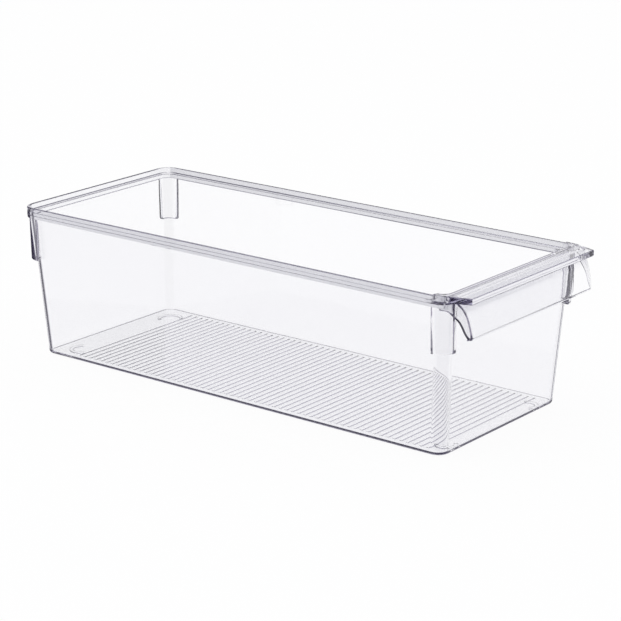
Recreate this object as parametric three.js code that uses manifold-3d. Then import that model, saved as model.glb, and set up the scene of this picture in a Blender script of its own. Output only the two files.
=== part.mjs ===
// Clear fridge organiser bin: an open-topped, drafted tub with a ribbed floor, corner lugs, a double-lipped
// rim and a hooked front handle. Millimetres, +Z up, handle towards +X. The origin is the middle of the
// bin's bounding box, at the surface it stands on.
import * as THREE from 'three';
import { mergeVertices } from 'three/addons/utils/BufferGeometryUtils.js';
import Module from 'manifold-3d';

const wasm = await Module();
wasm.setup();

// Tub, sizes outside
const tubLength = 331.4; // along X, at the underside
const tubWidth = 129.9;
const tubHeight = 103.7; // underside to the crest of the rim
const wallThickness = 2;
const wallDraftDegrees = 3.63;
const cornerRadius = 8.2; // seen from above
const bottomEdgeRadius = 1.5;
const postWidth = 10.5; // corner of the underside to the seam beside a corner post

// Floor and its ribs
const floorThickness = 1.5;
const floorFilletRadius = 1.5;
const ribPitch = 5;
const ribWidth = 2.6;
const ribCrestWidth = 0.9;
const ribHeight = 0.4;
const ribBackSetback = 26.95; // back of the underside to the first rib
const ribFrontSetback = 14.35; // front of the underside to the last rib
const ribEndSetback = 6.9; // side of the underside to the ends of the ribs

// Curved feet under the corners
const footHeight = 1;
const footWidth = 2.4;
const footSweepDegrees = 190;
const footSideInset = 19.65; // side of the underside to the middle of the arc
const backFootInset = 18.15;
const backFootRadius = 7.8;
const frontFootInset = 10.85;
const frontFootRadius = 5.7;

// Corner lugs
const lugBottom = 66.8; // above the underside
const lugProud = 1.8; // beyond the wall, at the top of the tub
const lugLength = 10.2; // along X, from the top corner of the tub to the lug's flank
const lugWidth = 8.6; // along Y
const lugDraftDegrees = 1;
const lugEdge = 0.6;

// Rim
const collarHeight = 11; // crest to the collar's lower edge
const collarProud = 0.3;
const rimOverhang = 2.5; // the lips stand this far beyond the top of the wall
const lipThickness = 2.2; // of the upright lip
const crestRadius = 0.9;
const upperLipHeight = 4.9; // crest to the groove
const grooveHeight = 0.4;
const grooveDepth = 0.6;
const lowerLipHeight = 2.2;
const lowerLipEdge = 0.5;
const ledgeDrop = 4.1; // crest to the inner ledge
const ledgeSlope = 0.9;

// Front handle: a flat shelf, a hooked pull below it and a cheek at each end
const shelfRise = 0.6; // above the crest of the rim
const shelfThickness = 4.2;
const shelfEdge = 0.4;
const shelfReach = 15.2; // front edge beyond the top of the wall
const shelfLedgeWidth = 8.9; // inner ledge, from the wall's inside
const shelfLedgeThickness = 2;
const shelfLedgeRadius = 5.6;
const recessEndSetback = 8.4; // top of the front wall to the end of the recess inside the upright lip
const shelfTaperSetback = 1.8; // top of the front wall to where the shelf draws in
const shelfTaper = 6.5; // each side draws in this much
const shelfBend = 4; // run of the soft bend where it starts to draw in
const pullSetback = 7.9; // front edge of the shelf to the root of the pull
const pullBellySetback = 0.2; // front edge of the shelf to the belly of the pull
const pullHeight = 21.9; // below the shelf
const pullThickness = 2.2;
const pullEndRound = 2.6; // length of the rounding at each end, seen from above
const cheekThickness = 2.4;
const cheekRootDrop = 4.7; // underside of the shelf to the rear foot of the cheek

// Forms
const cornerSteps = 8;
const edgeSteps = 4;
const footSteps = 12;
const cutMargin = 20; // how far cutting solids run past what they cut
const pullShares = [[0, 0], [0.14, 0.06], [0.34, 0.14], [0.48, 0.22], [0.64, 0.34], [0.75, 0.46],
  [0.82, 0.56], [0.9, 0.68], [0.97, 0.81], [1, 0.91], [0.97, 1]];
const cheekShares = [[0, 0], [0.15, 0.01], [0.26, 0.07], [0.36, 0.16], [0.47, 0.26], [0.57, 0.37],
  [0.66, 0.52], [0.74, 0.7], [0.82, 0.84], [0.9, 0.95]];

// Worked-out sizes, measured from the middle of the tub's underside
const wallDraft = Math.tan(THREE.MathUtils.degToRad(wallDraftDegrees));
const lugDraft = Math.tan(THREE.MathUtils.degToRad(lugDraftDegrees));
const topHalfLength = tubLength / 2 + tubHeight * wallDraft;
const topHalfWidth = tubWidth / 2 + tubHeight * wallDraft;
const rimHalfLength = topHalfLength + rimOverhang;
const rimHalfWidth = topHalfWidth + rimOverhang;
const rimRadius = cornerRadius + rimOverhang;
const postSeamX = tubLength / 2 - postWidth;
const postSeamY = tubWidth / 2 - postWidth;
const collarBottom = tubHeight - collarHeight;
const grooveTop = tubHeight - upperLipHeight;
const grooveBottom = grooveTop - grooveHeight;
const lowerLipBottom = grooveBottom - lowerLipHeight;
const ledgeHeight = tubHeight - ledgeDrop;
const shelfFront = topHalfLength + shelfReach;
const shelfBack = topHalfLength - wallThickness - shelfLedgeWidth;
const recessEnd = topHalfLength - recessEndSetback;
const shelfTaperStart = topHalfLength - shelfTaperSetback;
const shelfTop = tubHeight + shelfRise;
const shelfUnderside = shelfTop - shelfThickness;
const taperSlope = shelfTaper / (shelfFront - shelfTaperStart);
const pullFront = shelfFront - pullBellySetback;
const pullEnd = rimHalfWidth - (pullFront - shelfTaperStart) * taperSlope;
const pullHalfWidth = pullEnd - pullEndRound;
const reach = shelfFront + cutMargin; // past every face of the bin
const tubOffset = (rimHalfLength - shelfFront) / 2; // puts the middle of the whole bin at x = 0

function clearPlastic(colour) {
  return new THREE.MeshStandardMaterial({ color: colour, roughness: 0.06, metalness: 0 });
}

// A closed geometry becomes a solid that can be joined and cut.
function solidFrom(geometry) {
  const bare = geometry.clone();
  bare.deleteAttribute('normal');
  bare.deleteAttribute('uv');
  const merged = mergeVertices(bare);
  return new wasm.Manifold(new wasm.Mesh({
    numProp: 3,
    vertProperties: new Float32Array(merged.attributes.position.array),
    triVerts: new Uint32Array(merged.index.array),
  }));
}

function geometryFrom(solid) {
  const { vertProperties, triVerts } = solid.getMesh();
  const geometry = new THREE.BufferGeometry();
  geometry.setAttribute('position', new THREE.BufferAttribute(new Float32Array(vertProperties), 3));
  geometry.setIndex(new THREE.BufferAttribute(new Uint32Array(triVerts), 1));
  geometry.computeVertexNormals();
  return geometry;
}

// Rounded rectangle as a counter-clockwise list of points.
function roundedOutline(halfX, halfY, radius) {
  const centreX = halfX - radius;
  const centreY = halfY - radius;
  const points = [];
  for (const [signX, signY, quarter] of [[1, -1, 3], [1, 1, 0], [-1, 1, 1], [-1, -1, 2]]) {
    for (let i = 0; i <= cornerSteps; i += 1) {
      const angle = (quarter + i / cornerSteps) * Math.PI / 2;
      points.push(new THREE.Vector2(
        signX * centreX + radius * Math.cos(angle),
        signY * centreY + radius * Math.sin(angle),
      ));
    }
  }
  return points;
}

// Outline of the drafted tub at a height, grown outwards.
function tubOutline(height, grow) {
  const run = height * wallDraft + grow;
  return roundedOutline(tubLength / 2 + run, tubWidth / 2 + run, cornerRadius + grow);
}

function rimOutline(inset) {
  return roundedOutline(rimHalfLength - inset, rimHalfWidth - inset, rimRadius - inset);
}

// Solid through a stack of convex outlines that have as many points each.
function loft(levels) {
  const count = levels[0].outline.length;
  const positions = [];
  const index = [];
  for (const { height, outline } of levels) {
    for (const point of outline) {
      positions.push(point.x, point.y, height);
    }
  }
  for (let level = 0; level < levels.length - 1; level += 1) {
    for (let i = 0; i < count; i += 1) {
      const near = level * count + i;
      const next = level * count + (i + 1) % count;
      index.push(near, next, next + count, near, next + count, near + count);
    }
  }
  const top = (levels.length - 1) * count;
  for (let i = 1; i < count - 1; i += 1) {
    index.push(0, i + 1, i);
    index.push(top, top + i, top + i + 1);
  }
  const geometry = new THREE.BufferGeometry();
  geometry.setAttribute('position', new THREE.Float32BufferAttribute(positions, 3));
  geometry.setIndex(index);
  return solidFrom(geometry);
}

// Box for cutting, given as ranges along X, Y and Z.
function block([lowX, highX], [lowY, highY], heights) {
  const corners = [[lowX, lowY], [highX, lowY], [highX, highY], [lowX, highY]];
  const outline = corners.map(([x, y]) => new THREE.Vector2(x, y));
  return loft(heights.map((height) => ({ height, outline })));
}

// Profile in the XZ plane, swept along Y.
function sweptAcross(points, rangeY) {
  const geometry = new THREE.ExtrudeGeometry(new THREE.Shape(points), {
    depth: rangeY[1] - rangeY[0],
    bevelEnabled: false,
  });
  geometry.rotateX(Math.PI / 2);
  geometry.translate(0, rangeY[1], 0);
  return solidFrom(geometry);
}

function tubBlock(low, high, grow) {
  return loft([low, high].map((height) => ({ height, outline: tubOutline(height, grow) })));
}

// Outside of the tub, with its rounded bottom edge.
function tubOutside() {
  const levels = [];
  for (let i = 0; i <= edgeSteps; i += 1) {
    const angle = (i / edgeSteps) * Math.PI / 2;
    const height = bottomEdgeRadius * (1 - Math.cos(angle));
    levels.push({ height, outline: tubOutline(height, -bottomEdgeRadius * (1 - Math.sin(angle))) });
  }
  levels.push({ height: tubHeight, outline: tubOutline(tubHeight, 0) });
  return loft(levels);
}

// Hollow between the walls. It narrows at the fillet round the floor and runs on down through the floor.
function tubHollow() {
  const toe = tubOutline(floorThickness, -wallThickness - floorFilletRadius);
  const levels = [{ height: -cutMargin, outline: toe }];
  for (let i = 0; i <= edgeSteps; i += 1) {
    const angle = (i / edgeSteps) * Math.PI / 2;
    const height = floorThickness + floorFilletRadius * (1 - Math.cos(angle));
    const inset = wallThickness + floorFilletRadius * (1 - Math.sin(angle));
    levels.push({ height, outline: tubOutline(height, -inset) });
  }
  const high = tubHeight + cutMargin;
  levels.push({ height: high, outline: tubOutline(high, -wallThickness) });
  return loft(levels);
}

// All the ribs as one comb with its back sunk into the floor.
function floorRibs() {
  const firstRib = ribBackSetback - tubLength / 2;
  const ribCount = Math.round((tubLength - ribBackSetback - ribFrontSetback) / ribPitch) + 1;
  const lastRib = firstRib + (ribCount - 1) * ribPitch;
  const halfRun = tubWidth / 2 - ribEndSetback;
  const crest = floorThickness + ribHeight;
  const comb = [];
  for (let i = ribCount - 1; i >= 0; i -= 1) {
    const x = firstRib + i * ribPitch;
    comb.push(new THREE.Vector2(x + ribWidth / 2, floorThickness));
    comb.push(new THREE.Vector2(x + ribCrestWidth / 2, crest));
    comb.push(new THREE.Vector2(x - ribCrestWidth / 2, crest));
    comb.push(new THREE.Vector2(x - ribWidth / 2, floorThickness));
  }
  comb.push(new THREE.Vector2(firstRib - ribWidth / 2, floorThickness / 2));
  comb.push(new THREE.Vector2(lastRib + ribWidth / 2, floorThickness / 2));
  return sweptAcross(comb, [-halfRun, halfRun]);
}

// Quarter-round column outside a corner, hidden half of it inside the wall.
function lug(signX, signY, low, high) {
  const centre = new THREE.Vector2(signX * (topHalfLength - lugLength), signY * (topHalfWidth - lugWidth));
  const levels = [];
  for (const [height, inset] of [[low, lugEdge], [low + lugEdge, 0], [high, 0]]) {
    const proud = lugProud - (tubHeight - height) * lugDraft - inset;
    const outline = [centre];
    for (let i = 0; i <= cornerSteps; i += 1) {
      const angle = (i / cornerSteps) * Math.PI / 2;
      outline.push(new THREE.Vector2(
        centre.x + signX * (lugLength + proud) * Math.cos(angle),
        centre.y + signY * (lugWidth + proud) * Math.sin(angle),
      ));
    }
    levels.push({ height, outline: signX * signY > 0 ? outline : outline.reverse() });
  }
  return loft(levels);
}

// Rounded at the back and square at the front, where the rim's rails stop at the shelf.
function railOutline(halfX, halfY, radius, frontX) {
  const back = roundedOutline(halfX, halfY, radius).filter((point) => point.x < 0);
  return [new THREE.Vector2(frontX, -halfY), new THREE.Vector2(frontX, halfY), ...back];
}

function railAtRim(inset, frontX) {
  return railOutline(rimHalfLength - inset, rimHalfWidth - inset, rimRadius - inset, frontX);
}

function railAtWall(height, frontX) {
  const run = height * wallDraft + collarProud;
  return railOutline(tubLength / 2 + run, tubWidth / 2 + run, cornerRadius + collarProud, frontX);
}

// Lower lip and the groove above it, standing on the collar's wall band.
function lowerLip(frontX) {
  return loft([
    { height: lowerLipBottom, outline: railAtRim(lowerLipEdge, frontX) },
    { height: lowerLipBottom + lowerLipEdge, outline: railAtRim(0, frontX) },
    { height: grooveBottom, outline: railAtRim(0, frontX) },
    { height: grooveBottom, outline: railAtRim(grooveDepth, frontX) },
    { height: grooveTop, outline: railAtRim(grooveDepth, frontX) },
  ]);
}

// Collar on the back and sides: a faint step on the wall, then the lower lip and the groove.
function rimCollar(hollow, ledge) {
  const band = loft([collarBottom, grooveTop].map((height) => ({
    height,
    outline: railAtWall(height, shelfBack),
  })));
  const leftLug = lug(-1, 1, collarBottom - cutMargin, grooveTop);
  const rightLug = lug(-1, -1, collarBottom - cutMargin, grooveTop);
  const above = block([-reach, shelfBack], [-reach, reach], [collarBottom, grooveTop]);
  const outside = band.add(lowerLip(shelfBack)).add(leftLug).add(rightLug);
  return outside.subtract(hollow).add(ledge).intersect(above);
}

// Heights and insets of a rounded upper edge.
function edgeLevels(top, radius) {
  return Array.from({ length: edgeSteps + 1 }, (unused, i) => {
    const angle = (i / edgeSteps) * Math.PI / 2;
    return { height: top - radius * (1 - Math.sin(angle)), inset: radius * (1 - Math.cos(angle)) };
  });
}

// Space inside the upright lip, down to the sloping ledge.
function rimRecess() {
  const levels = [
    { height: ledgeHeight, outline: rimOutline(rimOverhang + wallThickness) },
    { height: ledgeHeight + ledgeSlope, outline: rimOutline(lipThickness) },
  ];
  for (const { height, inset } of edgeLevels(tubHeight, crestRadius)) {
    levels.push({ height, outline: rimOutline(lipThickness - inset) });
  }
  levels.push({ height: tubHeight + cutMargin, outline: rimOutline(lipThickness - crestRadius) });
  return loft(levels).intersect(block([-reach, recessEnd], [-reach, reach], [0, tubHeight + cutMargin]));
}

// Upright lip on the back and sides, with the ledge inside it.
function rimCrown(hollow, recess, ledge) {
  const outer = [{ height: grooveTop, outline: railAtRim(0, shelfBack) }];
  for (const { height, inset } of edgeLevels(tubHeight, crestRadius)) {
    outer.push({ height, outline: railAtRim(inset, shelfBack) });
  }
  const above = block([-reach, shelfBack], [-reach, reach], [grooveTop, tubHeight]);
  return loft(outer).subtract(hollow).subtract(recess).add(ledge).intersect(above);
}

// Flat ledge inside the front wall, with a rounded opening.
function frontLedge() {
  const low = ledgeHeight - shelfLedgeThickness;
  const halfWidth = topHalfWidth - wallThickness - ledgeDrop * wallDraft;
  const slabBack = shelfBack - shelfLedgeRadius;
  const slab = block([slabBack, topHalfLength - wallThickness / 2], [-reach, reach], [low, ledgeHeight]);
  const opening = loft([low - cutMargin, ledgeHeight + cutMargin].map((height) => ({
    height,
    outline: roundedOutline(shelfBack, halfWidth, shelfLedgeRadius),
  })));
  return slab.intersect(tubBlock(low, ledgeHeight, -wallThickness / 2)).subtract(opening);
}

// Half of the shelf's plan, from its back to its front corner, with insets at its side and front.
function shelfSide(sideInset, frontInset) {
  const side = rimHalfWidth - sideInset;
  const bend = new THREE.QuadraticBezierCurve(
    new THREE.Vector2(shelfTaperStart - shelfBend, side),
    new THREE.Vector2(shelfTaperStart, side),
    new THREE.Vector2(shelfTaperStart + shelfBend, side - shelfBend * taperSlope),
  );
  const front = new THREE.Vector2(shelfFront - frontInset, rimHalfWidth - shelfTaper - frontInset);
  return [new THREE.Vector2(shelfBack, side), ...bend.getPoints(edgeSteps), front];
}

function shelfOutline(sideInset, frontInset) {
  const left = shelfSide(sideInset, frontInset);
  const right = left.map((point) => new THREE.Vector2(point.x, -point.y));
  return [...right, ...left.reverse()];
}

// Shelf, with the band of front wall, lug tops and lip ends that it grows out of.
function handleShelf(hollow, recess, ledge) {
  const plate = [
    { height: shelfUnderside, outline: shelfOutline(0, shelfEdge) },
    { height: shelfUnderside + shelfEdge, outline: shelfOutline(0, 0) },
  ];
  const sideLevels = edgeLevels(shelfTop, crestRadius);
  edgeLevels(shelfTop, shelfEdge).forEach(({ inset }, i) => {
    plate.push({ height: sideLevels[i].height, outline: shelfOutline(sideLevels[i].inset, inset) });
  });
  const flare = sideLevels.map(({ height, inset }) => ({
    height,
    outline: tubOutline(height, inset - wallThickness),
  }));
  const clear = shelfTop + cutMargin;
  flare.push({ height: clear, outline: tubOutline(clear, crestRadius - wallThickness) });
  const leftLug = lug(1, 1, collarBottom - cutMargin, shelfUnderside);
  const rightLug = lug(1, -1, collarBottom - cutMargin, shelfUnderside);
  const lips = loft([
    { height: grooveTop, outline: railAtRim(0, shelfTaperStart) },
    { height: shelfUnderside, outline: railAtRim(0, shelfTaperStart) },
  ]).add(lowerLip(shelfTaperStart));
  const front = block([shelfBack, reach], [-reach, reach], [collarBottom, shelfTop]);
  const behindStep = block([shelfBack - cutMargin, recessEnd], [-reach, reach], [tubHeight, clear]);
  const band = tubBlock(collarBottom, shelfUnderside, collarProud).add(leftLug).add(rightLug);
  const whole = band.add(lips).add(loft(plate));
  const open = whole.subtract(hollow).subtract(loft(flare)).subtract(recess).subtract(behindStep);
  return open.add(ledge).intersect(front);
}

// Outer profile of the pull as seen from the side, from its root under the shelf to its tip.
function pullFace() {
  const rootX = shelfFront - pullSetback;
  return pullShares.map(([forwardShare, downShare]) => new THREE.Vector2(
    rootX + forwardShare * (pullFront - rootX),
    shelfUnderside - downShare * pullHeight,
  ));
}

// Inner profile, as thick as the pull's wall measured square to its slope.
function pullBack() {
  const face = pullFace();
  return face.map((point, i) => {
    const before = face[Math.max(i - 1, 0)];
    const after = face[Math.min(i + 1, face.length - 1)];
    const slope = (after.x - before.x) / (after.y - before.y);
    return new THREE.Vector2(point.x - pullThickness * Math.hypot(1, slope), point.y);
  });
}

function handlePull() {
  return sweptAcross([...pullFace(), ...pullBack().reverse()], [-pullHalfWidth, pullHalfWidth]);
}

// Plan of the handle at one height, with tapered sides and rounded front corners.
function handlePlan(backX, frontX, sideInset, round) {
  const sideAt = (x) => rimHalfWidth - sideInset - (x - shelfTaperStart) * taperSlope;
  const turn = new THREE.QuadraticBezierCurve(
    new THREE.Vector2(frontX, sideAt(frontX) - round),
    new THREE.Vector2(frontX, sideAt(frontX)),
    new THREE.Vector2(frontX - round, sideAt(frontX - round)),
  );
  const left = [...turn.getPoints(edgeSteps), new THREE.Vector2(backX, sideAt(backX))];
  const right = left.map((point) => new THREE.Vector2(point.x, -point.y));
  return [...right.reverse(), ...left];
}

// Body under the shelf that follows a profile down to the pull's lower edge.
function handleBody(profile, backX, sideInset, round) {
  return loft(profile.reverse().map(({ x, y }) => ({
    height: y,
    outline: handlePlan(backX, x, sideInset, round),
  })));
}

// Cheek that closes one end of the handle: the end of the pull and the plate that runs back to the rim.
function handleCheek(signY) {
  const tip = pullFace().pop();
  const rear = new THREE.Vector2(shelfTaperStart, shelfUnderside - cheekRootDrop);
  const lowerEdge = cheekShares.map(([forwardShare, downShare]) => new THREE.Vector2(
    rear.x + forwardShare * (tip.x - rear.x),
    rear.y + downShare * (tip.y - rear.y),
  ));
  const corner = new THREE.Vector2(shelfTaperStart, shelfUnderside);
  const range = signY > 0 ? [pullHalfWidth, reach] : [-reach, -pullHalfWidth];
  const plate = sweptAcross([corner, ...pullFace(), ...lowerEdge.reverse()], range);
  const end = sweptAcross([...pullFace(), ...pullBack().reverse()], range);
  const outside = handleBody(pullFace(), shelfTaperStart, 0, pullEndRound);
  const inside = handleBody(pullBack(), shelfTaperStart - cutMargin, cheekThickness, pullEndRound / 2);
  return outside.subtract(inside).intersect(plate.add(end));
}

// Curved foot under a corner, open towards the middle of the floor.
function foot(signX, signY) {
  const inset = signX < 0 ? backFootInset : frontFootInset;
  const radius = signX < 0 ? backFootRadius : frontFootRadius;
  const centreX = signX * (tubLength / 2 - inset);
  const centreY = signY * (tubWidth / 2 - footSideInset);
  const middle = Math.atan2(signY, signX);
  const halfSweep = THREE.MathUtils.degToRad(footSweepDegrees) / 2;
  const arc = (arcRadius, steps, from, to) => Array.from({ length: steps + 1 }, (unused, i) => {
    const angle = middle + from + (i / steps) * (to - from);
    return new THREE.Vector2(centreX + arcRadius * Math.cos(angle), centreY + arcRadius * Math.sin(angle));
  });
  const outer = arc(radius + footWidth / 2, footSteps, -halfSweep, halfSweep);
  const inner = arc(radius - footWidth / 2, footSteps, halfSweep, -halfSweep);
  const geometry = new THREE.ExtrudeGeometry(new THREE.Shape([...outer, ...inner]), {
    depth: footHeight,
    bevelEnabled: false,
  });
  geometry.translate(0, 0, -footHeight);
  return solidFrom(geometry);
}

const bin = new THREE.Group();
bin.name = 'fridge_organiser_bin';

function addPiece(name, solid, colour) {
  const mesh = new THREE.Mesh(geometryFrom(solid), clearPlastic(colour));
  mesh.geometry.translate(tubOffset, 0, footHeight);
  mesh.name = name;
  bin.add(mesh);
}

// Tub, parted into a floor, four walls and four corner posts.
const hollow = tubHollow();
const shell = tubOutside().subtract(hollow);
const wallRange = [floorThickness, collarBottom];
const allAcross = [-reach, reach];
const floor = tubOutside().intersect(block(allAcross, allAcross, [-cutMargin, floorThickness]));
addPiece('floor', floor.add(floorRibs()), 0xe9edf2);

for (const [name, sign] of [['wall_front', 1], ['wall_back', -1]]) {
  const alongX = sign > 0 ? [postSeamX, reach] : [-reach, -postSeamX];
  addPiece(name, shell.intersect(block(alongX, [-postSeamY, postSeamY], wallRange)), 0xeef1f5);
}
for (const [name, sign] of [['wall_left', 1], ['wall_right', -1]]) {
  const alongY = sign > 0 ? [0, reach] : [-reach, 0];
  addPiece(name, shell.intersect(block([-postSeamX, postSeamX], alongY, wallRange)), 0xeef1f5);
}

const corners = [
  ['front_left', 1, 1],
  ['front_right', 1, -1],
  ['back_left', -1, 1],
  ['back_right', -1, -1],
];
for (const [name, signX, signY] of corners) {
  const alongX = signX > 0 ? [postSeamX, reach] : [-reach, -postSeamX];
  const alongY = signY > 0 ? [postSeamY, reach] : [-reach, -postSeamY];
  const post = shell.add(lug(signX, signY, lugBottom, tubHeight)).subtract(hollow);
  addPiece(`post_${name}`, post.intersect(block(alongX, alongY, wallRange)), 0xe4e9ef);
  addPiece(`foot_${name}`, foot(signX, signY), 0xdfe4ea);
}

// Rim, parted at the same seams as the walls.
const recess = rimRecess();
const ledge = frontLedge();
const collar = rimCollar(hollow, ledge);
const crown = rimCrown(hollow, recess, ledge);
const rails = [
  ['back', [-reach, -postSeamX], allAcross],
  ['left', [-postSeamX, shelfBack], [0, reach]],
  ['right', [-postSeamX, shelfBack], [-reach, 0]],
];
for (const [name, alongX, alongY] of rails) {
  const part = block(alongX, alongY, [-cutMargin, tubHeight + cutMargin]);
  addPiece(`rim_collar_${name}`, collar.intersect(part), 0xe4e9ef);
  addPiece(`rim_crown_${name}`, crown.intersect(part), 0xf2f4f7);
}

// Handle
addPiece('handle_shelf', handleShelf(hollow, recess, ledge), 0xf2f4f7);
addPiece('handle_pull', handlePull(), 0xe9edf2);
addPiece('handle_cheek_left', handleCheek(1), 0xe4e9ef);
addPiece('handle_cheek_right', handleCheek(-1), 0xe4e9ef);

export default bin;
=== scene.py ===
# Clear fridge organiser bin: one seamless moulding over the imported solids, on a pale floor in soft light.
import math
import bmesh
import bpy
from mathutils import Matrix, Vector


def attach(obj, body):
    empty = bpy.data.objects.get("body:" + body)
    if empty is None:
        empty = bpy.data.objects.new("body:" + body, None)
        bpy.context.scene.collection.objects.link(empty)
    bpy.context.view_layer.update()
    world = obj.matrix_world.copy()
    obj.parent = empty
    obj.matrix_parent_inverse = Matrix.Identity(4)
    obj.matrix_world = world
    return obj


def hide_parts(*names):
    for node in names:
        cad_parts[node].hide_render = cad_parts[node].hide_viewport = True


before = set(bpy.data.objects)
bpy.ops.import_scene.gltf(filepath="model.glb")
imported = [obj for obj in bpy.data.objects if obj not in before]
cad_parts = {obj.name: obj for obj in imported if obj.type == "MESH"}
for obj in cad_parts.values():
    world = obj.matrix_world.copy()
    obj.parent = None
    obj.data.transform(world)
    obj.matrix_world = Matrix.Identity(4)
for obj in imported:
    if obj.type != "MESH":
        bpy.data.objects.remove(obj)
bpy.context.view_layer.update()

mm = 0.001
scene = bpy.context.scene


# Helpers for meshes, with sizes in millimetres

def newObject(name, mesh):
    thing = bpy.data.objects.new(name, mesh)
    scene.collection.objects.link(thing)
    return thing


def skin(name, rings):  # closed body through rings that have as many points each
    bm = bmesh.new()
    loops = [[bm.verts.new([value * mm for value in point]) for point in ring] for ring in rings]
    count = len(loops[0])
    for lower, upper in zip(loops, loops[1:]):
        for i in range(count):
            j = (i + 1) % count
            bm.faces.new((lower[i], lower[j], upper[j], upper[i]))
    bm.faces.new(list(reversed(loops[0])))
    bm.faces.new(loops[-1])
    bmesh.ops.recalc_face_normals(bm, faces=bm.faces)
    mesh = bpy.data.meshes.new(name)
    bm.to_mesh(mesh)
    bm.free()
    return newObject(name, mesh)


def loft(name, levels):  # levels: (height, outline) pairs from the bottom up
    return skin(name, [[(x, y, height) for x, y in outline] for height, outline in levels])


def sweptAcross(name, profile, rangeY):  # profile: (x, z) points
    return skin(name, [[(x, y, z) for x, z in profile] for y in rangeY])


def block(name, rangeX, rangeY, rangeZ):
    (x0, x1), (y0, y1) = rangeX, rangeY
    outline = [(x0, y0), (x1, y0), (x1, y1), (x0, y1)]
    return loft(name, [(height, outline) for height in rangeZ])


def bake(thing):  # modifiers applied, result in a plain mesh
    graph = bpy.context.evaluated_depsgraph_get()
    graph.update()
    mesh = bpy.data.meshes.new_from_object(thing.evaluated_get(graph))
    thing.modifiers.clear()
    thing.data = mesh
    return thing


def combine(target, how, *others):  # how: UNION, DIFFERENCE or INTERSECT; the others are used up
    for other in others:
        cut = target.modifiers.new("combine", "BOOLEAN")
        cut.operation = how
        cut.solver = "EXACT"
        cut.object = other
        bake(target)
        bpy.data.objects.remove(other)
    return target


# Rounded outlines and edges

cornerSteps = 12
edgeSteps = 5
past = 5  # how far a cutter reaches past the plastic


def cornerArc(centreX, centreY, radius, quarter):
    points = []
    for i in range(cornerSteps + 1):
        angle = (quarter + i / cornerSteps) * math.pi / 2
        points.append((centreX + radius * math.cos(angle), centreY + radius * math.sin(angle)))
    return points


def roundedOutline(halfX, halfY, radius):
    points = []
    for signX, signY, quarter in ((1, -1, 3), (1, 1, 0), (-1, 1, 1), (-1, -1, 2)):
        points += cornerArc(signX * (halfX - radius), signY * (halfY - radius), radius, quarter)
    return points


def baseLevels(radius):  # (height, inset) from a flat bottom up its rounded edge
    levels = []
    for i in range(edgeSteps + 1):
        angle = i / edgeSteps * math.pi / 2
        levels.append((radius * (1 - math.cos(angle)), radius * (1 - math.sin(angle))))
    return levels


def edgeLevels(top, radius):  # (height, inset) up a rounded edge to a flat top
    levels = []
    for i in range(edgeSteps + 1):
        angle = i / edgeSteps * math.pi / 2
        levels.append((top - radius * (1 - math.sin(angle)), radius * (1 - math.cos(angle))))
    return levels


# Tub, with heights from its underside

tub = dict(length=331.4, width=129.9, height=103.7, wall=2.0, draft=math.tan(math.radians(3.63)), corner=8.2,
           bottomEdge=1.5, floor=1.5, fillet=1.5,
           collarDrop=11.0, collarProud=0.3, collarSlope=1.2,  # faint step in the wall under the rim
           topDrop=1.0)  # the wall ends inside the rim's lip
topHalfLength = tub["length"] / 2 + tub["height"] * tub["draft"]
topHalfWidth = tub["width"] / 2 + tub["height"] * tub["draft"]


def tubOutline(height, grow):
    run = height * tub["draft"] + grow
    return roundedOutline(tub["length"] / 2 + run, tub["width"] / 2 + run, tub["corner"] + grow)


def makeTub():
    levels = [(height, tubOutline(height, -inset)) for height, inset in baseLevels(tub["bottomEdge"])]
    collarBottom = tub["height"] - tub["collarDrop"]
    levels.append((collarBottom, tubOutline(collarBottom, 0)))
    for height in (collarBottom + tub["collarSlope"], tub["height"] - tub["topDrop"]):
        levels.append((height, tubOutline(height, tub["collarProud"])))
    return loft("tub", levels)


def makeHollow():
    levels = []
    for rise, inset in baseLevels(tub["fillet"]):
        height = tub["floor"] + rise
        levels.append((height, tubOutline(height, -tub["wall"] - inset)))
    for height, inset in edgeLevels(shelfTop, shelf["flare"]):
        levels.append((height, tubOutline(height, inset - tub["wall"])))
    levels.append((shelfTop + past, tubOutline(shelfTop + past, shelf["flare"] - tub["wall"])))
    return loft("hollow", levels)


# Rim: two lips with a groove between them, and a recess inside that leaves a ledge

rim = dict(overhang=2.5, lip=2.2, crest=0.9, grooveDrop=4.9, grooveHeight=0.4, grooveDepth=0.6,
           grooveSlope=0.08, lowerLip=2.2, lowerEdge=0.9, edgeMiddle=(0.15, 0.3),  # rise, share of the inset
           ledgeDrop=4.1, ledgeSlope=0.9, recessRadius=2.4, recessLift=0.03)
rimHalfLength = topHalfLength + rim["overhang"]
rimHalfWidth = topHalfWidth + rim["overhang"]
rimRadius = tub["corner"] + rim["overhang"]
grooveTop = tub["height"] - rim["grooveDrop"]
grooveBottom = grooveTop - rim["grooveHeight"]
lowerLipBottom = grooveBottom - rim["lowerLip"]
ledgeHeight = tub["height"] - rim["ledgeDrop"]


def rimBack(inset):  # back half of the rim's outline
    outline = roundedOutline(rimHalfLength - inset, rimHalfWidth - inset, rimRadius - inset)
    return [point for point in outline if point[0] < 0]


def lipOutline(inset):  # square at the front, where the shelf takes over
    side = rimHalfWidth - inset
    return [(taperStart, -side), (taperStart, side)] + rimBack(inset)


def recessOutline(inset):  # follows the rim, and ends in soft corners before the shelf
    radius = rim["recessRadius"]
    centreX, centreY = recessEnd + rim["lip"] - inset - radius, rimHalfWidth - inset - radius
    front = cornerArc(centreX, -centreY, radius, 3) + cornerArc(centreX, centreY, radius, 0)
    return front + rimBack(inset)


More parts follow.
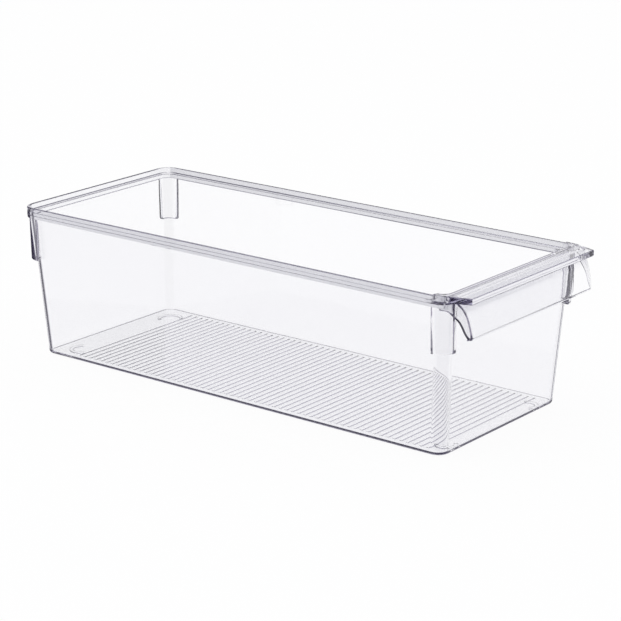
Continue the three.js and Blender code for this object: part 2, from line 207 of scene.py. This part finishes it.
def makeLips():
    rise, share = rim["edgeMiddle"]
    steps = [(lowerLipBottom, rim["lowerEdge"]), (lowerLipBottom + rise, rim["lowerEdge"] * share),
             (lowerLipBottom + rim["lowerEdge"], 0), (grooveBottom, 0),
             (grooveBottom + rim["grooveSlope"], rim["grooveDepth"]),
             (grooveTop - rim["grooveSlope"], rim["grooveDepth"]), (grooveTop, 0)]
    steps += edgeLevels(tub["height"], rim["crest"])
    return loft("lips", [(height, lipOutline(inset)) for height, inset in steps])


def makeRecess():
    steps = [(ledgeHeight + rim["recessLift"], rim["overhang"] + tub["wall"]),
             (ledgeHeight + rim["ledgeSlope"], rim["lip"])]
    steps += [(height, rim["lip"] - inset) for height, inset in edgeLevels(tub["height"], rim["crest"])]
    steps.append((tub["height"] + past, rim["lip"] - rim["crest"]))
    return loft("recess", [(height, recessOutline(inset)) for height, inset in steps])


# Lugs on the outside of the corners

lug = dict(bottom=66.8, proud=1.8, length=10.2, width=8.6, draft=math.tan(math.radians(1.0)),
           edge=0.6, edgeMiddle=(0.2, 0.4), intoRim=0.5)


def makeLug(signX, signY):
    centreX, centreY = signX * (topHalfLength - lug["length"]), signY * (topHalfWidth - lug["width"])
    rise, share = lug["edgeMiddle"]
    levels = []
    for height, inset in ((lug["bottom"], lug["edge"]), (lug["bottom"] + rise, lug["edge"] * share),
                          (lug["bottom"] + lug["edge"], 0), (grooveTop + lug["intoRim"], 0)):
        proud = lug["proud"] - (tub["height"] - height) * lug["draft"] - inset
        outline = [(centreX, centreY)]
        for i in range(cornerSteps + 1):
            angle = i / cornerSteps * math.pi / 2
            outline.append((centreX + signX * (lug["length"] + proud) * math.cos(angle),
                            centreY + signY * (lug["width"] + proud) * math.sin(angle)))
        if signX * signY < 0:
            outline.reverse()
        levels.append((height, outline))
    return loft("lug", levels)


# Shelf of the handle, and the ledge that it has inside the bin

shelf = dict(rise=0.6, thickness=4.2, edge=0.4, lowerEdge=0.7, lowerSide=0.2, flare=0.9, reach=15.2,
             recessEnd=8.4, taperSetback=1.8, taper=6.5, bend=4.0, bendSteps=6)
ledge = dict(width=8.9, thickness=2.0, radius=5.6, edge=0.4, edgeSteps=10, intoWall=1.0)
shelfFront = topHalfLength + shelf["reach"]
shelfTop = tub["height"] + shelf["rise"]
shelfUnderside = shelfTop - shelf["thickness"]
taperStart = topHalfLength - shelf["taperSetback"]
taperSlope = shelf["taper"] / (shelfFront - taperStart)
recessEnd = topHalfLength - shelf["recessEnd"]
ledgeBack = topHalfLength - tub["wall"] - ledge["width"]
tubOffset = (rimHalfLength - shelfFront) / 2  # the frame's origin is the middle of the whole part
far = shelfFront + 20  # outside the whole part


def shelfOutline(sideInset, frontInset):
    side = rimHalfWidth - sideInset
    left = [(recessEnd, side)]
    for i in range(shelf["bendSteps"] + 1):
        t = i / shelf["bendSteps"]
        left.append((taperStart + shelf["bend"] * (2 * t - 1), side - shelf["bend"] * taperSlope * t * t))
    left.append((shelfFront - frontInset, rimHalfWidth - shelf["taper"] - frontInset))
    return [(x, -y) for x, y in left] + list(reversed(left))


def makeShelf():
    levels = [(shelfUnderside, shelfOutline(shelf["lowerSide"], shelf["lowerEdge"])),
              (shelfUnderside + shelf["lowerEdge"], shelfOutline(0, 0))]
    fronts = [inset for height, inset in edgeLevels(shelfTop, shelf["edge"])]
    for (height, sideInset), frontInset in zip(edgeLevels(shelfTop, rim["crest"]), fronts):
        levels.append((height, shelfOutline(sideInset, frontInset)))
    return loft("shelf", levels)


def makeLedge():
    low, into, half = ledgeHeight - ledge["thickness"], ledge["intoWall"], ledge["thickness"] / 2
    rangeX = (ledgeBack - ledge["radius"], topHalfLength - into)
    slab = block("ledge", rangeX, (-far, far), (low, ledgeHeight))
    heights = (low - into, ledgeHeight + into)
    within = loft("within", [(height, tubOutline(height, -into)) for height in heights])
    halfWidth = topHalfWidth - tub["wall"] - rim["ledgeDrop"] * tub["draft"]
    steps = [(low - past, 1)]
    for i in range(ledge["edgeSteps"] + 1):  # half round, widest at both faces of the ledge
        angle = i * math.pi / ledge["edgeSteps"]
        steps.append((low + half * (1 - math.cos(angle)), 1 - math.sin(angle)))
    steps.append((ledgeHeight + past, 1))
    levels = []
    for height, share in steps:
        grow = share * ledge["edge"]
        levels.append((height, roundedOutline(ledgeBack + grow, halfWidth + grow, ledge["radius"] + grow)))
    combine(slab, "INTERSECT", within)
    return combine(slab, "DIFFERENCE", loft("opening", levels))


# Pull and cheeks of the handle

pull = dict(setback=7.9, belly=0.2, height=21.9, thickness=2.2, endRound=2.6, cheek=2.4, cheekDrop=4.7,
            edge=0.7,
            face=[(0, 0), (0.14, 0.06), (0.34, 0.14), (0.48, 0.22), (0.64, 0.34), (0.75, 0.46),
                  (0.82, 0.56), (0.9, 0.68), (0.97, 0.81), (1, 0.91), (0.97, 1)],  # shares forward and down
            lower=[(0, 0), (0.15, 0.01), (0.26, 0.07), (0.36, 0.16), (0.47, 0.26), (0.57, 0.37), (0.66, 0.52),
                   (0.74, 0.7), (0.82, 0.84), (0.9, 0.95)],  # a cheek's lower edge, from the rim to the tip
            endSteps=8, curveSteps=3, insideShare=6,  # the inside's corners are this many times smaller
            closeShares=(1, 0.7, 0.45, 0.25, 0.12, 0.04, 0), closeReach=1.1,  # levels by the lower edge
            intoShelf=1.5, behind=2, hollowBehind=20,  # how far the body and its hollow reach into the rest
            cutBehind=3, cutUp=9, cutDown=3, cutGap=0.01)  # and how far the region that is kept
pullFront = shelfFront - pull["belly"]


def smoothRun(points, steps):  # soft curve through the points
    ends = [points[0]] + list(points) + [points[-1]]
    run = []
    for i in range(1, len(ends) - 2):
        for j in range(steps):
            t = j / steps
            run.append(tuple(0.5 * (2 * b + (c - a) * t + (2 * a - 5 * b + 4 * c - d) * t * t
                                    + (3 * b - a - 3 * c + d) * t ** 3)
                             for a, b, c, d in zip(*ends[i - 1:i + 3])))
    return run + [points[-1]]


def pullFace():
    rootX = shelfFront - pull["setback"]
    return [(rootX + forward * (pullFront - rootX), shelfUnderside - down * pull["height"])
            for forward, down in smoothRun(pull["face"], pull["curveSteps"])]


def pullBack():
    face = pullFace()
    back = []
    for i, (x, z) in enumerate(face):
        before, after = face[max(i - 1, 0)], face[min(i + 1, len(face) - 1)]
        slope = (after[0] - before[0]) / (after[1] - before[1])
        back.append((x - pull["thickness"] * math.hypot(1, slope), z))
    return back


def handleSide(x, sideInset):
    return rimHalfWidth - sideInset - max(x - taperStart, 0) * taperSlope


def handlePlan(backX, frontX, sideInset, size):  # at one height, with tapered sides and soft front corners
    left = []
    for i in range(pull["endSteps"] + 1):
        t = i / pull["endSteps"]
        left.append((frontX - size * t * t,
                     handleSide(frontX, sideInset) - size * (1 - t) ** 2 + size * taperSlope * t * t))
    left += [(x, handleSide(x, sideInset)) for x in (taperStart, backX)]
    return [(x, -y) for x, y in reversed(left)] + left


def handleBody(name, profile, backX, sideInset, size, edge):  # edge: radius of the outside's lower edge
    bottom = profile[-1][1]
    levels = []
    for x, z in reversed(profile):
        up = min(z - bottom, abs(edge)) / abs(edge)
        inset = edge * (1 - math.sqrt(1 - (1 - up) ** 2))
        levels.append((z, handlePlan(backX, x - inset, sideInset + inset, size)))
    return loft(name, levels)


def closeLevels(profile, reach):  # into the shelf at the top, and with more points near the lower edge
    x, z = profile[-1]
    slope = (x - profile[-2][0]) / (z - profile[-2][1])
    top = (profile[0][0], profile[0][1] + pull["intoShelf"])
    upper = [point for point in profile if point[1] > z + reach * pull["closeReach"]]
    near = [share * reach for share in pull["closeShares"]]
    return [top] + upper + [(x + slope * up, z + up) for up in near]


def makeHandle():
    face, back = closeLevels(pullFace(), pull["edge"]), closeLevels(pullBack(), pull["edge"])
    handle = handleBody("handle", face, taperStart - pull["behind"], 0, pull["endRound"], pull["edge"])
    inside = handleBody("inside", back, taperStart - pull["hollowBehind"], pull["cheek"],
                        pull["endRound"] / pull["insideShare"], -pull["edge"])
    combine(handle, "DIFFERENCE", inside)
    rear, tip = (taperStart, shelfUnderside - pull["cheekDrop"]), pullFace()[-1]
    lower = [(rear[0] + forward * (tip[0] - rear[0]), rear[1] + down * (tip[1] - rear[1]))
             for forward, down in smoothRun(pull["lower"], pull["curveSteps"])]
    backX, topZ, lowZ = back[-1][0] - pull["cutGap"], rear[1] + pull["cutUp"], tip[1] - pull["cutDown"]
    profile = [(taperStart - pull["cutBehind"], rear[1]), (taperStart - pull["cutBehind"], topZ), (far, topZ),
               (far, lowZ), (backX, lowZ), (backX, tip[1]), (backX, lower[-1][1])] + list(reversed(lower))
    return combine(handle, "INTERSECT", sweptAcross("region", profile, (-far, far)))


# Curved feet

foot = dict(height=1.0, width=2.4, sweep=190.0, side=19.65, back=(18.15, 7.8), front=(10.85, 5.7), steps=24,
            section=[(-0.5, 0.6), (-0.5, -0.75), (-0.38, -1.0), (0.38, -1.0), (0.5, -0.75), (0.5, 0.6)])


def makeFoot(signX, signY):
    inset, radius = foot["front"] if signX > 0 else foot["back"]
    centreX, centreY = signX * (tub["length"] / 2 - inset), signY * (tub["width"] / 2 - foot["side"])
    middle, half = math.atan2(signY, signX), math.radians(foot["sweep"]) / 2
    rings = []
    for i in range(foot["steps"] + 1):
        angle = middle - half + 2 * half * i / foot["steps"]
        ring = []
        for across, up in foot["section"]:
            r = radius + across * foot["width"]
            ring.append((centreX + r * math.cos(angle), centreY + r * math.sin(angle), up * foot["height"]))
        rings.append(ring)
    return skin("foot", rings)


# Helpers for nodes

def feed(links, socket, value):  # value: a number or colour, or another node's output
    if isinstance(value, bpy.types.NodeSocket):
        links.new(value, socket)
    else:
        socket.default_value = value


def calculate(nodes, links, operation, first, second=0.0):
    node = nodes.new("ShaderNodeMath")
    node.operation = operation
    feed(links, node.inputs[0], first)
    feed(links, node.inputs[1], second)
    return node.outputs[0]


def blendColors(nodes, links, share, first, second):  # the node's inputs 6 and 7 are its two colours
    node = nodes.new("ShaderNodeMix")
    node.data_type = "RGBA"
    for index, value in ((0, share), (6, first), (7, second)):
        feed(links, node.inputs[index], value)
    return node.outputs[2]


def blendShaders(nodes, links, share, first, second):
    node = nodes.new("ShaderNodeMixShader")
    for socket, value in zip(node.inputs, (share, first, second)):
        links.new(value, socket)
    return node.outputs[0]


def noise(nodes, links, place, scale, detail):
    node = nodes.new("ShaderNodeTexNoise")
    node.inputs["Scale"].default_value = scale
    node.inputs["Detail"].default_value = detail
    links.new(place, node.inputs["Vector"])
    return node.outputs["Fac"]


# Floor ribs, repeated by a node group

rib = dict(pitch=5.0, width=2.8, height=0.2, sunk=0.6, back=26.95, front=14.35, side=6.9, sectionSteps=32)


def ribGroup():  # flattened rods in a row, sunk into the floor by a share of their own half height
    group = bpy.data.node_groups.new("floorRibs", "GeometryNodeTree")
    face = group.interface
    face.new_socket("Geometry", in_out="OUTPUT", socket_type="NodeSocketGeometry")
    face.new_socket("Count", in_out="INPUT", socket_type="NodeSocketInt")
    for name in ("Pitch", "First", "Length", "Width", "Height", "Level", "Sunk"):
        face.new_socket(name, in_out="INPUT", socket_type="NodeSocketFloat")
    face.new_socket("Material", in_out="INPUT", socket_type="NodeSocketMaterial")
    nodes, links = group.nodes, group.links
    given, result = nodes.new("NodeGroupInput").outputs, nodes.new("NodeGroupOutput")

    def reckon(operation, first, second=0.0):
        return calculate(nodes, links, operation, first, second)

    def vector(x=0.0, y=0.0, z=0.0):
        node = nodes.new("ShaderNodeCombineXYZ")
        for socket, value in zip(node.inputs, (x, y, z)):
            feed(links, socket, value)
        return node.outputs[0]

    rise = reckon("DIVIDE", given["Height"], reckon("SUBTRACT", 1.0, given["Sunk"]))
    depth = reckon("MULTIPLY", rise, given["Sunk"])
    shown = reckon("SQRT", reckon("SUBTRACT", 1.0, reckon("MULTIPLY", given["Sunk"], given["Sunk"])))
    radius = reckon("DIVIDE", reckon("MULTIPLY", given["Width"], 0.5), shown)
    row = nodes.new("GeometryNodeMeshLine")
    links.new(given["Count"], row.inputs["Count"])
    start = vector(x=given["First"], z=reckon("SUBTRACT", given["Level"], depth))
    links.new(start, row.inputs["Start Location"])
    links.new(vector(x=given["Pitch"]), row.inputs["Offset"])
    spine = nodes.new("GeometryNodeCurvePrimitiveLine")
    halfLength = reckon("MULTIPLY", given["Length"], 0.5)
    links.new(vector(y=reckon("MULTIPLY", halfLength, -1.0)), spine.inputs["Start"])
    links.new(vector(y=halfLength), spine.inputs["End"])
    section = nodes.new("GeometryNodeCurvePrimitiveCircle")
    section.inputs["Resolution"].default_value = rib["sectionSteps"]
    links.new(radius, section.inputs["Radius"])
    rod = nodes.new("GeometryNodeCurveToMesh")
    rod.inputs["Fill Caps"].default_value = True
    links.new(spine.outputs[0], rod.inputs["Curve"])
    links.new(section.outputs[0], rod.inputs["Profile Curve"])
    flat = nodes.new("GeometryNodeTransform")
    links.new(rod.outputs[0], flat.inputs["Geometry"])
    links.new(vector(x=1.0, y=1.0, z=reckon("DIVIDE", rise, radius)), flat.inputs["Scale"])
    place = nodes.new("GeometryNodeInstanceOnPoints")
    links.new(row.outputs[0], place.inputs["Points"])
    links.new(flat.outputs[0], place.inputs["Instance"])
    real = nodes.new("GeometryNodeRealizeInstances")
    links.new(place.outputs[0], real.inputs[0])
    paint = nodes.new("GeometryNodeSetMaterial")
    links.new(real.outputs[0], paint.inputs["Geometry"])
    links.new(given["Material"], paint.inputs["Material"])
    links.new(paint.outputs[0], result.inputs[0])
    return group


def makeRibs(material):
    count = int(round((tub["length"] - rib["back"] - rib["front"]) / rib["pitch"])) + 1
    ribs = newObject("ribs", bpy.data.meshes.new("ribs"))
    maker = ribs.modifiers.new("ribs", "NODES")
    maker.node_group = ribGroup()
    values = {"Count": count, "Pitch": rib["pitch"] * mm, "First": (rib["back"] - tub["length"] / 2) * mm,
              "Length": (tub["width"] - 2 * rib["side"]) * mm, "Width": rib["width"] * mm,
              "Height": rib["height"] * mm, "Level": tub["floor"] * mm, "Sunk": rib["sunk"],
              "Material": material}
    for socket in maker.node_group.interface.items_tree:
        if socket.item_type == "SOCKET" and socket.in_out == "INPUT":
            maker[socket.identifier] = values[socket.name]
    return bake(ribs)


# Clear plastic

plastic = dict(roughness=0.02, ior=1.54,
               # lip: painted shade, the grey of the rim's lips outside the wall; ledge: the grey of the
               # uneven tone, and also a slight painted shade on all plastic from just below the lower lip
               # upward
               wall=(0.99, 0.99, 1.0, 1), ledge=(0.95, 0.95, 0.97, 1), lip=(0.56, 0.56, 0.60, 1),
               tintScale=9, tintDetail=1, tintFrom=0.35, tintStrength=0.5, softness=0.6,
               lipShadeBelow=0.3, lipShadeOutside=0.6,  # the lips' painted shade starts this far below them and outside the wall
               rippleScale=14, rippleDetail=2, rippleStrength=0.15, rippleDistance=0.001,
               body=(0.62, 0.60, 0.72, 1), density=10,
               deepRay=5.5, mostDims=2.5,  # light that has run along inside, and how often it is dimmed
               passed=(0.96, 0.96, 0.97, 1), lowDim=(0.36, 0.34, 0.42, 1), highDim=(0.55, 0.53, 0.64, 1),
               dimSpan=3.0)  # mm below the shelf's underside


def tintGroup():  # colour of the plastic at a place: painted shade from the rim up, darkest on the lips outside the wall, and uneven by a little
    group = bpy.data.node_groups.new("plasticTint", "ShaderNodeTree")
    face = group.interface
    kinds = {"Place": "NodeSocketVector", "Rim Height": "NodeSocketFloat", "Wall Side": "NodeSocketFloat",
             "Wall": "NodeSocketColor", "Ledge": "NodeSocketColor", "Lip": "NodeSocketColor"}
    for name, kind in kinds.items():
        face.new_socket(name, in_out="INPUT", socket_type=kind)
    face.new_socket("Color", in_out="OUTPUT", socket_type="NodeSocketColor")
    nodes, links = group.nodes, group.links
    given, result = nodes.new("NodeGroupInput").outputs, nodes.new("NodeGroupOutput")

    def reckon(operation, first, second=0.0):
        return calculate(nodes, links, operation, first, second)

    def share(value):  # kept between 0 and 1
        return reckon("MINIMUM", reckon("MAXIMUM", value, 0.0), 1.0)

    def above(value, limit):
        return share(reckon("DIVIDE", reckon("SUBTRACT", value, limit), plastic["softness"] * mm))

    parts = nodes.new("ShaderNodeSeparateXYZ")
    links.new(given["Place"], parts.inputs[0])
    flow = noise(nodes, links, given["Place"], plastic["tintScale"], plastic["tintDetail"])
    uneven = share(reckon("MULTIPLY", reckon("SUBTRACT", flow, plastic["tintFrom"]), plastic["tintStrength"]))
    # painted shade: slightly greyer from just below the lower lip upward, and much greyer on the lips outside
    # the wall
    high = above(parts.outputs["Z"], given["Rim Height"])
    side = above(reckon("ABSOLUTE", parts.outputs["Y"]), given["Wall Side"])
    thin = blendColors(nodes, links, uneven, given["Wall"], given["Ledge"])
    toneWithTopShade = blendColors(nodes, links, high, thin, given["Ledge"])
    tint = blendColors(nodes, links, reckon("MULTIPLY", high, side), toneWithTopShade, given["Lip"])
    links.new(tint, result.inputs[0])
    return group


def dimColor(nodes, links, place, path):  # dims light that was thrown about inside, not what passed through
    height = nodes.new("ShaderNodeSeparateXYZ")
    links.new(place, height.inputs[0])
    upper = nodes.new("ShaderNodeMapRange")
    top = foot["height"] + shelfUnderside
    upper.inputs["From Min"].default_value = (top - plastic["dimSpan"]) * mm
    upper.inputs["From Max"].default_value = top * mm
    links.new(height.outputs["Z"], upper.inputs["Value"])
    dim = blendColors(nodes, links, upper.outputs["Result"], plastic["lowDim"], plastic["highDim"])
    few = calculate(nodes, links, "LESS_THAN", path.outputs["Transparent Depth"], plastic["mostDims"])
    thrown = calculate(nodes, links, "MINIMUM", few, path.outputs["Glossy Depth"])
    return blendColors(nodes, links, thrown, plastic["passed"], dim)


def clearPlastic():
    material = bpy.data.materials.new("clearPlastic")
    material.use_nodes = True
    nodes, links = material.node_tree.nodes, material.node_tree.links
    shader, output = nodes["Principled BSDF"], nodes["Material Output"]
    shader.inputs["Roughness"].default_value = plastic["roughness"]
    shader.inputs["IOR"].default_value = plastic["ior"]
    shader.inputs["Transmission Weight"].default_value = 1.0
    place = nodes.new("ShaderNodeTexCoord").outputs["Object"]
    tint = nodes.new("ShaderNodeGroup")
    tint.node_tree = tintGroup()
    links.new(place, tint.inputs["Place"])
    # where the painted shade on the rim begins, and the colour of the lips' painted shade
    values = {"Rim Height": (foot["height"] + lowerLipBottom - plastic["lipShadeBelow"]) * mm,
              "Wall Side": (topHalfWidth + plastic["lipShadeOutside"]) * mm,
              "Wall": plastic["wall"], "Ledge": plastic["ledge"], "Lip": plastic["lip"]}
    for name, value in values.items():
        tint.inputs[name].default_value = value
    links.new(tint.outputs["Color"], shader.inputs["Base Color"])
    bump = nodes.new("ShaderNodeBump")
    bump.inputs["Strength"].default_value = plastic["rippleStrength"]
    bump.inputs["Distance"].default_value = plastic["rippleDistance"]
    ripple = noise(nodes, links, place, plastic["rippleScale"], plastic["rippleDetail"])
    links.new(ripple, bump.inputs["Height"])
    links.new(bump.outputs["Normal"], shader.inputs["Normal"])
    path = nodes.new("ShaderNodeLightPath")
    deep = calculate(nodes, links, "GREATER_THAN", path.outputs["Ray Depth"], plastic["deepRay"])
    straight = nodes.new("ShaderNodeBsdfTransparent")
    links.new(dimColor(nodes, links, place, path), straight.inputs["Color"])
    surface = blendShaders(nodes, links, deep, shader.outputs[0], straight.outputs[0])
    links.new(surface, output.inputs["Surface"])
    body = nodes.new("ShaderNodeVolumeAbsorption")
    body.inputs["Color"].default_value = plastic["body"]
    body.inputs["Density"].default_value = plastic["density"]
    links.new(body.outputs[0], output.inputs["Volume"])
    return material


# The moulding as one closed piece

finish = dict(mergeDistance=2e-6, sharpAngle=32)  # metres, degrees
corners = ((1, 1), (1, -1), (-1, 1), (-1, -1))
clearMaterial = clearPlastic()
moulding = makeTub()
combine(moulding, "UNION", *[makeLug(signX, signY) for signX, signY in corners])
combine(moulding, "UNION", makeLips(), makeShelf(), makeHandle())
print("outside made", len(moulding.data.polygons))
combine(moulding, "DIFFERENCE", makeHollow(), makeRecess())
combine(moulding, "UNION", makeLedge())
print("hollow made", len(moulding.data.polygons))
combine(moulding, "UNION", makeRibs(clearMaterial))
combine(moulding, "UNION", *[makeFoot(signX, signY) for signX, signY in corners])
print("ribs and feet made", len(moulding.data.polygons))


def finishMesh(thing, material):
    bm = bmesh.new()
    bm.from_mesh(thing.data)
    bmesh.ops.remove_doubles(bm, verts=bm.verts, dist=finish["mergeDistance"])
    bmesh.ops.dissolve_degenerate(bm, edges=bm.edges, dist=finish["mergeDistance"])
    bmesh.ops.delete(bm, geom=[edge for edge in bm.edges if not edge.link_faces], context="EDGES")
    bmesh.ops.translate(bm, verts=bm.verts, vec=(tubOffset * mm, 0, foot["height"] * mm))
    print("open edges", len([edge for edge in bm.edges if not edge.is_manifold]))
    for face in bm.faces:
        face.smooth = True
        face.material_index = 0
    for edge in bm.edges:
        if edge.is_manifold and edge.calc_face_angle(0) > math.radians(finish["sharpAngle"]):
            edge.smooth = False
    bm.to_mesh(thing.data)
    bm.free()
    thing.data.materials.clear()
    thing.data.materials.append(material)
    even = thing.modifiers.new("even", "WEIGHTED_NORMAL")
    even.keep_sharp = True
    bake(thing)


finishMesh(moulding, clearMaterial)
moulding.name = "bin_moulding"
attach(moulding, "root")
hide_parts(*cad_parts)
print("moulding done")


# Pale floor, in metres

ground = dict(size=12, below=0.0004, color=(0.95, 0.95, 0.95, 1), glow=0.95)  # glow: white share of its look


def seenShare(nodes, links, other, camera, bent):  # value by ray; bent is for glossy and transmission rays
    path = nodes.new("ShaderNodeLightPath").outputs
    either = calculate(nodes, links, "MAXIMUM", path["Is Glossy Ray"], path["Is Transmission Ray"])
    first = nodes.new("ShaderNodeMix")
    first.inputs["A"].default_value = other
    feed(links, first.inputs["B"], bent)
    links.new(either, first.inputs["Factor"])
    second = nodes.new("ShaderNodeMix")
    links.new(first.outputs["Result"], second.inputs["A"])
    second.inputs["B"].default_value = camera
    links.new(path["Is Camera Ray"], second.inputs["Factor"])
    return second.outputs["Result"]


def groundMaterial():  # rays bent by the plastic pass the floor, so that they see the room's light
    material = bpy.data.materials.new("paleFloor")
    material.use_nodes = True
    nodes, links = material.node_tree.nodes, material.node_tree.links
    nodes.clear()
    diffuse = nodes.new("ShaderNodeBsdfDiffuse")
    diffuse.inputs["Color"].default_value = ground["color"]
    glow, gone = nodes.new("ShaderNodeEmission"), nodes.new("ShaderNodeBsdfTransparent")
    seen = seenShare(nodes, links, 0.0, ground["glow"], 0.0)
    solid = blendShaders(nodes, links, seen, diffuse.outputs[0], glow.outputs[0])
    bent = seenShare(nodes, links, 0.0, 0.0, 1.0)
    output = nodes.new("ShaderNodeOutputMaterial")
    links.new(blendShaders(nodes, links, bent, solid, gone.outputs[0]), output.inputs["Surface"])
    return material


def makeGround():
    bpy.ops.mesh.primitive_plane_add(size=ground["size"], location=(0, 0, -ground["below"]))
    plane = bpy.context.object
    plane.name = "ground"
    plane.data.materials.append(groundMaterial())


# Room, as seen in the plastic: bright for light that only passes through it, and dim with bright panels
# behind, at both sides, below and above for light that was reflected inside

room = dict(background=1.0, plain=0.85,  # as the camera sees it, and as it lights the floor
            through=0.95, around=0.1,  # for light that only passes through, and between the panels
            shade=(0.80, 0.76, 1.0, 1), white=(1, 1, 1, 1))  # where it is dark and where it is bright
panels = [dict(towards=(-0.605, 0.745, -0.26), edge=0.88, full=0.965, level=1.0),
          dict(towards=(-0.605, 0.745, 0.26), edge=0.88, full=0.965, level=1.0),
          dict(towards=(-0.59, -0.75, -0.25), edge=0.75, full=0.93, level=1.0),
          dict(towards=(0.59, 0.75, -0.25), edge=0.75, full=0.93, level=1.0),
          dict(towards=(0.0, 0.0, -1.0), edge=0.3, full=0.75, level=0.95),
          dict(towards=(0.0, 0.0, 1.0), edge=0.4, full=0.8, level=0.4)]


def panelLight(nodes, links, place, panel):
    towards = nodes.new("ShaderNodeVectorMath")
    towards.operation = "DOT_PRODUCT"
    towards.inputs[1].default_value = Vector(panel["towards"]).normalized()
    links.new(place, towards.inputs[0])
    fall = nodes.new("ShaderNodeMapRange")
    fall.interpolation_type = "SMOOTHSTEP"
    values = {"From Min": panel["edge"], "From Max": panel["full"],
              "To Min": room["around"], "To Max": panel["level"]}
    for name, value in values.items():
        fall.inputs[name].default_value = value
    links.new(towards.outputs["Value"], fall.inputs["Value"])
    return fall.outputs["Result"]


def makeRoom():
    world = bpy.data.worlds.new("studio")
    scene.world = world
    world.use_nodes = True
    nodes, links = world.node_tree.nodes, world.node_tree.links
    place = nodes.new("ShaderNodeTexCoord").outputs["Generated"]
    path = nodes.new("ShaderNodeLightPath")
    clear = nodes.new("ShaderNodeMapRange")
    clear.inputs["To Min"].default_value = room["through"]
    clear.inputs["To Max"].default_value = 0.0
    links.new(path.outputs["Glossy Depth"], clear.inputs["Value"])
    brightest = clear.outputs["Result"]
    for panel in panels:
        light = panelLight(nodes, links, place, panel)
        brightest = calculate(nodes, links, "MAXIMUM", brightest, light)
    strength = seenShare(nodes, links, room["plain"], room["background"], brightest)
    background = nodes["Background"]
    links.new(strength, background.inputs["Strength"])
    links.new(blendColors(nodes, links, strength, room["shade"], room["white"]), background.inputs["Color"])


# Lamp and camera

softbox = dict(size=(1.6, 1.2), energy=6, place=(-0.4, -0.6, 1.9), aim=(0.4, 0.6, -1.85))
view = dict(eye=(0.87628, -1.10749, 0.48314), target=(0.00889, 0.0, 0.04922), lens=130.287, sensor=36,
            near=0.05, far=50)


def makeLamp():
    lamp = bpy.data.lights.new("softbox", "AREA")
    lamp.shape = "RECTANGLE"
    lamp.size, lamp.size_y = softbox["size"]
    lamp.energy = softbox["energy"]
    box = newObject("softbox", lamp)
    box.location = softbox["place"]
    box.rotation_euler = Vector(softbox["aim"]).to_track_quat("-Z", "Y").to_euler()


def makeCamera():
    camera = bpy.data.cameras.new("camera")
    camera.sensor_width = view["sensor"]
    camera.lens = view["lens"]
    camera.clip_start = view["near"]
    camera.clip_end = view["far"]
    holder = newObject("camera", camera)
    holder.location = view["eye"]
    aim = Vector(view["target"]) - Vector(view["eye"])
    holder.rotation_euler = aim.to_track_quat("-Z", "Y").to_euler()
    scene.camera = holder


makeGround()
makeRoom()
makeLamp()
makeCamera()
scene.view_settings.view_transform = "Standard"
print("stage done")
